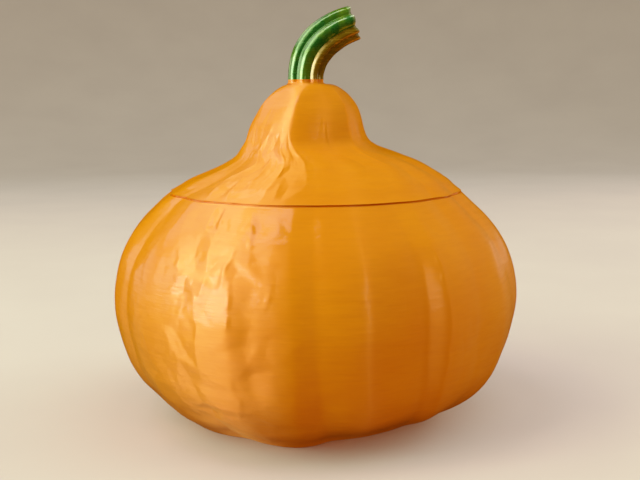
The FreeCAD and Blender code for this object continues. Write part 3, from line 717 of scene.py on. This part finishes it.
# ---------------------------------------------------------------- stem
def make_stem():
    az = np.arange(N_STEM) * 360.0 / N_STEM
    a = np.radians(az)
    stations = []
    m = len(STEM_LINE)
    for j, (x, y, z, r) in enumerate(STEM_LINE):
        p0, p1 = STEM_LINE[max(0, j - 1)], STEM_LINE[min(m - 1, j + 1)]
        rise = math.degrees(math.atan2(p1[2] - p0[2], p1[0] - p0[0]))
        if j == 0:
            rise = 90.0
        if j == m - 1:
            rise = STEM_END_RISE
        t = math.radians(rise)
        groove = flute(az, STEM_FLUTE)
        rr = r - groove
        p, q = rr * np.sin(a), rr * np.cos(a)
        points = np.stack([x + p * math.sin(t), y - q, z - p * math.cos(t)], 1)
        if j == m - 1:      # the cut is a little askew and the ridges stand out at it
            out = 0.34 * np.cos(a) + 0.10 - 0.85 * groove / STEM_FLUTE
            points = points + out[:, None] * np.array([math.cos(t), 0.0, math.sin(t)])
        stations.append(points)
    g = refine(stations, 96)
    n = grid_normals(g)
    p = g.reshape(-1, 3)
    d = (0.05 * (noise(p, (2.6, 2.6, 5.0), 31) + 0.7) + 0.02 * (noise(p, (1.2, 1.2, 1.2), 37) + 0.7))
    s = np.linspace(0, 1, len(g))
    fade = smooth(0.0, 0.04, s) * (1 - smooth(0.97, 1.0, s))
    g = g - n * (np.clip(d, 0, None).reshape(g.shape[:2]) * fade[:, None])[:, :, None]
    outer = list(g)
    x0 = STEM_LINE[0][0]
    sin, cos = np.sin(a), np.cos(a)
    lower = turned([(1.0, 93.0), (TENON_R - 0.3, 93.0), (TENON_R, 93.3), (TENON_R, 95.5), (TENON_R, 98.0)],
                   x0, sin, cos)
    # cut end: a fine raised edge, then a shallow dished face
    end = outer[-1]
    c = np.array(STEM_LINE[-1][:3])
    t = math.radians(STEM_END_RISE)
    axis = np.array([math.cos(t), 0.0, math.sin(t)])
    face = []
    for share, back in ((0.965, -0.0), (0.93, 0.03), (0.89, 0.16), (0.80, 0.20), (0.60, 0.20), (0.35, 0.22), (0.12, 0.22)):
        face.append(c + (end - c) * share - axis * back)
    rows = lower + outer + face
    return make_mesh("stem_fluted", rows, (x0, 0, 93.0), tuple(c - axis * 0.22)), len(lower), len(outer), len(face)


bowl = make_bowl()
lid = make_lid()
stem, n_low, n_out, n_face = make_stem()

for piece, node, body, slot in ((bowl, "bowl", "bowl", "orange_print"), (lid, "lid", "lid", "orange_print"),
                                (stem, "stem", "lid", "green_gold_print")):
    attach(piece, body)
    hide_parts(node)

# colour zones of the stem: 0 green, 1 gold
share = np.zeros(len(stem.data.vertices), np.float32)
az = np.arange(N_STEM) * 360.0 / N_STEM
signed = (az + 180.0) % 360.0 - 180.0
gold = smooth(13.0, 21.0, signed) * (1 - smooth(150.0, 172.0, signed))
rows_total = n_low + n_out + n_face
share[1:1 + rows_total * N_STEM] = np.tile(gold, rows_total).astype(np.float32)
share[0] = share[-1] = 0.4
attr = stem.data.attributes.new("gold", "FLOAT", "POINT")
attr.data.foreach_set("value", share)

# painted highlight: the rim of the cut end gets a pale mint colour that stands in for the highlight along its edge
painted_rim_highlight = np.zeros(len(stem.data.vertices), np.float32)
for row, level in ((-3, 0.2), (-2, 0.6), (-1, 1.0), (0, 1.0), (1, 0.5)):
    k = 1 + (n_low + n_out + row) * N_STEM
    painted_rim_highlight[k:k + N_STEM] = level
attr = stem.data.attributes.new("painted_rim_highlight", "FLOAT", "POINT")
attr.data.foreach_set("value", painted_rim_highlight)


# ---------------------------------------------------------------- materials
class Nodes:
    def __init__(self, name):
        self.mat = bpy.data.materials.new(name)
        self.mat.use_nodes = True
        self.tree = self.mat.node_tree
        self.tree.nodes.clear()

    def add(self, kind, **props):
        n = self.tree.nodes.new(kind)
        for k, v in props.items():
            setattr(n, k, v)
        return n

    def link(self, a, b):
        self.tree.links.new(a, b)

    def noise(self, vector, scale, detail=2.0, rough=0.5, lac=2.0):
        n = self.add("ShaderNodeTexNoise")
        n.inputs["Scale"].default_value = scale
        n.inputs["Detail"].default_value = detail
        n.inputs["Roughness"].default_value = rough
        n.inputs["Lacunarity"].default_value = lac
        self.link(vector, n.inputs["Vector"])
        return n.outputs["Fac"]

    def scaled(self, vector, scale, location=(0, 0, 0)):
        n = self.add("ShaderNodeMapping")
        n.inputs["Scale"].default_value = scale
        n.inputs["Location"].default_value = location
        self.link(vector, n.inputs["Vector"])
        return n.outputs["Vector"]

    def remap(self, value, a, b, c, d, clamp=True):
        n = self.add("ShaderNodeMapRange")
        n.clamp = clamp
        for key, v in (("From Min", a), ("From Max", b), ("To Min", c), ("To Max", d)):
            n.inputs[key].default_value = v
        self.link(value, n.inputs["Value"])
        return n.outputs["Result"]

    def math(self, op, a, b):
        n = self.add("ShaderNodeMath", operation=op)
        for i, v in enumerate((a, b)):
            if isinstance(v, (int, float)):
                n.inputs[i].default_value = v
            else:
                self.link(v, n.inputs[i])
        return n.outputs[0]

    def mix(self, fac, a, b):
        n = self.add("ShaderNodeMix", data_type="RGBA")
        ins = [s for s in n.inputs if s.enabled]
        for s, v in zip(ins, (fac, a, b)):
            if isinstance(v, (int, float)):
                s.default_value = v
            elif isinstance(v, tuple):
                s.default_value = (*v, 1.0)
            else:
                self.link(v, s)
        return [s for s in n.outputs if s.enabled][0]

    def bump(self, height, strength, distance, normal=None):
        n = self.add("ShaderNodeBump")
        n.inputs["Strength"].default_value = strength
        n.inputs["Distance"].default_value = distance
        self.link(height, n.inputs["Height"])
        if normal is not None:
            self.link(normal, n.inputs["Normal"])
        return n.outputs["Normal"]


def orange_material():
    m = Nodes("orange_silk_print")
    obj = m.add("ShaderNodeTexCoord").outputs["Object"]
    cloud = m.noise(m.scaled(obj, (34.0, 34.0, 40.0)), 1.0, 2.0)
    streak = m.noise(m.scaled(obj, (150.0, 150.0, 1400.0)), 1.0, 3.0, 0.6)
    wide = m.noise(m.scaled(obj, (70.0, 70.0, 430.0), (3.1, 1.7, 0.4)), 1.0, 2.0, 0.5)
    colour = m.mix(m.remap(cloud, 0.35, 0.65, 0.0, 1.0), (0.88, 0.230, 0.0015), (0.93, 0.268, 0.002))
    colour = m.mix(m.remap(streak, 0.35, 0.70, 0.0, 0.35), colour, (0.78, 0.180, 0.0012))
    shader = m.add("ShaderNodeBsdfPrincipled")
    out = m.add("ShaderNodeOutputMaterial")
    m.link(shader.outputs["BSDF"], out.inputs["Surface"])
    m.link(colour, shader.inputs["Base Color"])
    m.link(m.remap(streak, 0.3, 0.7, 0.38, 0.46), shader.inputs["Roughness"])
    layer = m.add("ShaderNodeTexWave", wave_type="BANDS", bands_direction="Z", wave_profile="SIN")
    layer.inputs["Scale"].default_value = 1570.0
    layer.inputs["Distortion"].default_value = 0.6
    layer.inputs["Detail"].default_value = 1.0
    m.link(obj, layer.inputs["Vector"])
    normal = m.bump(layer.outputs["Fac"], 0.35, 0.00001)
    normal = m.bump(streak, 0.75, 0.00010, normal)
    normal = m.bump(wide, 0.5, 0.00020, normal)
    crinkle = m.noise(m.scaled(obj, (48.0, 48.0, 34.0), (0.7, 0.2, 0.9)), 1.0, 2.0, 0.45)
    crinkle = m.math("ABSOLUTE", m.math("SUBTRACT", crinkle, 0.5), 0.0)
    normal = m.bump(crinkle, 0.8, 0.00080, normal)
    m.link(normal, shader.inputs["Normal"])
    shader.inputs["Metallic"].default_value = 0.25
    shader.inputs["Anisotropic"].default_value = 1.0
    shader.inputs["Anisotropic Rotation"].default_value = 0.25
    tangent = m.add("ShaderNodeTangent", direction_type="RADIAL", axis="Z")
    m.link(tangent.outputs["Tangent"], shader.inputs["Tangent"])
    shader.inputs["Specular IOR Level"].default_value = 0.42
    shader.inputs["Coat Weight"].default_value = 0.30
    shader.inputs["Coat Roughness"].default_value = 0.05
    shader.inputs["Coat IOR"].default_value = 1.45
    m.link(normal, shader.inputs["Coat Normal"])
    return m.mat


def stem_material():
    m = Nodes("green_gold_silk_print")
    obj = m.add("ShaderNodeTexCoord").outputs["Object"]
    fac = m.add("ShaderNodeAttribute", attribute_name="gold").outputs["Fac"]
    wob = m.noise(m.scaled(obj, (300.0, 300.0, 500.0)), 1.0, 2.0)
    fac = m.math("ADD", fac, m.remap(wob, 0.3, 0.7, -0.12, 0.12))
    fac = m.remap(fac, 0.25, 0.75, 0.0, 1.0)
    streak = m.noise(m.scaled(obj, (160.0, 160.0, 2600.0)), 1.0, 3.0, 0.6)
    patch = m.noise(m.scaled(obj, (170.0, 170.0, 120.0), (0.31, 0.2, 0.13)), 1.0, 2.0)
    green = m.mix(m.remap(patch, 0.42, 0.62, 0.0, 1.0), (0.018, 0.165, 0.016), (0.130, 0.310, 0.010))
    green = m.mix(m.remap(streak, 0.40, 0.7, 0.0, 0.5), green, (0.030, 0.200, 0.030))
    gold = m.mix(m.remap(streak, 0.35, 0.7, 0.0, 1.0), (0.215, 0.150, 0.004), (0.370, 0.235, 0.006))
    gold = m.mix(m.remap(patch, 0.45, 0.65, 0.0, 0.5), gold, (0.120, 0.090, 0.004))
    colour = m.mix(fac, green, gold)
    # painted highlight: pale mint mixed into the colour at the rim of the cut end, in place of the edge's highlight
    painted_rim_highlight = m.add("ShaderNodeAttribute", attribute_name="painted_rim_highlight").outputs["Fac"]
    colour = m.mix(m.math("MULTIPLY", painted_rim_highlight, 0.7), colour, (0.42, 0.56, 0.30))
    shader = m.add("ShaderNodeBsdfPrincipled")
    out = m.add("ShaderNodeOutputMaterial")
    m.link(shader.outputs["BSDF"], out.inputs["Surface"])
    m.link(colour, shader.inputs["Base Color"])
    m.link(m.remap(streak, 0.3, 0.7, 0.16, 0.30), shader.inputs["Roughness"])
    normal = m.bump(streak, 0.5, 0.00005)
    m.link(normal, shader.inputs["Normal"])
    shader.inputs["Metallic"].default_value = 0.55
    shader.inputs["Specular IOR Level"].default_value = 0.7
    shader.inputs["Coat Weight"].default_value = 0.8
    shader.inputs["Coat Roughness"].default_value = 0.05
    return m.mat


orange = orange_material()
for piece in (bowl, lid):
    piece.data.materials.append(orange)
stem.data.materials.append(stem_material())


# ---------------------------------------------------------------- floor, light and camera
def make_floor():
    """A round pale floor that sweeps up at its edge."""
    n = 96
    profile = [(0.05, 0.0), (0.3, 0.0), (0.6, 0.0), (0.9, 0.0)]
    for k in range(1, 13):
        t = math.radians(90.0 * k / 12)
        profile.append((0.9 + 0.7 * math.sin(t), 0.7 * (1 - math.cos(t))))
    profile.append((1.6, 1.1))
    verts = [(0.0, 0.0, 0.0)]
    for r, z in profile:
        for i in range(n):
            t = 2 * math.pi * i / n
            verts.append((r * math.cos(t), r * math.sin(t), z))
    faces = [(0, 1 + i, 1 + (i + 1) % n) for i in range(n)]
    for k in range(len(profile) - 1):
        a, b = 1 + k * n, 1 + (k + 1) * n
        faces += [(a + i, b + i, b + (i + 1) % n, a + (i + 1) % n) for i in range(n)]
    me = bpy.data.meshes.new("studio_floor")
    me.from_pydata(verts, [], faces)
    me.polygons.foreach_set("use_smooth", np.ones(len(me.polygons), bool))
    me.update()
    obj = bpy.data.objects.new("studio_floor", me)
    bpy.context.scene.collection.objects.link(obj)
    m = Nodes("pale_floor")
    co = m.add("ShaderNodeTexCoord").outputs["Object"]
    tint = m.noise(co, 14.0, 3.0)
    colour = m.mix(m.remap(tint, 0.3, 0.7, 0.0, 1.0), (0.60, 0.60, 0.61), (0.64, 0.64, 0.645))
    shader = m.add("ShaderNodeBsdfPrincipled")
    out = m.add("ShaderNodeOutputMaterial")
    m.link(shader.outputs["BSDF"], out.inputs["Surface"])
    m.link(colour, shader.inputs["Base Color"])
    shader.inputs["Roughness"].default_value = 0.75
    shader.inputs["Specular IOR Level"].default_value = 0.2
    me.materials.append(m.mat)
    obj.visible_diffuse = False
    obj.visible_glossy = False
    return obj


def area_light(name, place, target, size, power, colour):
    data = bpy.data.lights.new(name, "AREA")
    data.shape = "RECTANGLE"
    data.size, data.size_y = size
    data.energy = power
    data.color = colour
    obj = bpy.data.objects.new(name, data)
    bpy.context.scene.collection.objects.link(obj)
    obj.location = place
    obj.rotation_mode = "QUATERNION"
    obj.rotation_quaternion = (Vector(target) - Vector(place)).to_track_quat("-Z", "Y")
    obj.visible_camera = False
    return obj


make_floor()
WARM = (1.0, 0.90, 0.76)
area_light("window_left", (-0.73, -0.24, 0.56), (0.0, 0.0, 0.06), (0.70, 0.94), 11.3, (1.0, 0.90, 0.54))
area_light("window_back", (-0.52, 0.36, 0.66), (0.0, 0.0, 0.06), (0.46, 0.44), 1.5, WARM)
area_light("window_core", (-0.74, -0.24, 0.50), (0.0, 0.0, 0.06), (0.035, 0.90), 1.4, (1.0, 0.90, 0.60))
for name, place, size, power, colour in (
        ("low_left", (-0.64, -0.42, 0.16), (0.50, 0.29), 5.6, (1.0, 0.92, 0.72)),
        ("table_left", (-0.34, -0.28, 0.012), (0.40, 0.30), 0.8, WARM),
        ("low_back", (-0.72, 0.19, 0.17), (0.56, 0.28), 1.1, (1.0, 0.90, 0.58)),
        ("front_left", (-0.55, -0.66, 0.36), (0.46, 0.62), 1.7, (1.0, 0.88, 0.52)),
        ("low_right", (0.64, 0.58, 0.10), (0.34, 0.16), 0.14, (1.0, 0.84, 0.60)),
        ("overhead", (0.34, 0.0, 0.90), (0.80, 0.90), 5.4, WARM),
        ("right_side", (0.90, -0.02, 0.42), (0.62, 0.62), 3.9, (1.0, 0.82, 0.56)),
        ("right_back", (0.72, 0.42, 0.36), (0.42, 0.42), 3.4, (1.0, 0.82, 0.62)),
        ("table_front", (0.03, -0.135, 0.004), (0.22, 0.07), 0.060, (1.0, 0.36, 0.12)),
        ("table_right", (0.32, 0.02, 0.012), (0.28, 0.30), 0.2, (1.0, 0.58, 0.30)),
        ("thin_front", (0.46, -0.77, 0.36), (0.11, 0.56), 0.62, (1.0, 0.86, 0.50)),
        ("window_top", (-0.30, -0.08, 0.98), (0.30, 0.30), 2.2, WARM),
        ("front_right", (0.40, -0.80, 0.42), (0.50, 0.40), 0.3, (1.0, 0.84, 0.66))):
    lamp = area_light(name, place, (0.0, 0.0, 0.06), size, power, colour)
    lamp.visible_glossy = name in ("low_left", "low_back", "low_right", "window_top", "thin_front", "front_left")
    lamp.visible_diffuse = name not in ("low_left", "low_back", "low_right", "thin_front", "front_left")

world = bpy.data.worlds.new("studio")
bpy.context.scene.world = world
world.use_nodes = True
wt = world.node_tree
bg = wt.nodes.get("Background") or wt.nodes.new("ShaderNodeBackground")
bg.inputs["Color"].default_value = (1.0, 0.56, 0.31, 1.0)
bg.inputs["Strength"].default_value = 0.27
world.cycles_visibility.glossy = False

cam_data = bpy.data.cameras.new("camera")
cam_data.lens = 50.0
cam_data.sensor_width = 36.0
cam_data.clip_start = 0.01
cam_data.clip_end = 20.0
camera = bpy.data.objects.new("camera", cam_data)
bpy.context.scene.collection.objects.link(camera)
camera.location = (0.0014, -0.264285, 0.0927)
turn = Matrix.Rotation(math.radians(90.0 - 9.0906), 4, "X") @ Matrix.Rotation(math.radians(-0.4), 4, "Z")
camera.rotation_mode = "QUATERNION"
camera.rotation_quaternion = turn.to_quaternion()
bpy.context.scene.camera = camera

# plain colour handling with a soft shoulder, as a phone camera has it
view = bpy.context.scene.view_settings
view.view_transform = "Standard"
view.look = "None"
view.use_curve_mapping = True
curves = view.curve_mapping
curves.white_level = (2.5, 2.5, 2.5)
curves.clip_max_x = 1.0
curve = curves.curves[3]
points = [(0.0, 0.0), (0.30, 0.30), (0.72, 0.54), (1.26, 0.80), (1.70, 0.92), (2.5, 1.0)]
while len(curve.points) < len(points):
    curve.points.new(0.5, 0.5)
for p, (x, y) in zip(sorted(curve.points, key=lambda q: q.location.x), points):
    p.location = (x / 2.5, y)
    p.handle_type = "AUTO"
curves.update()
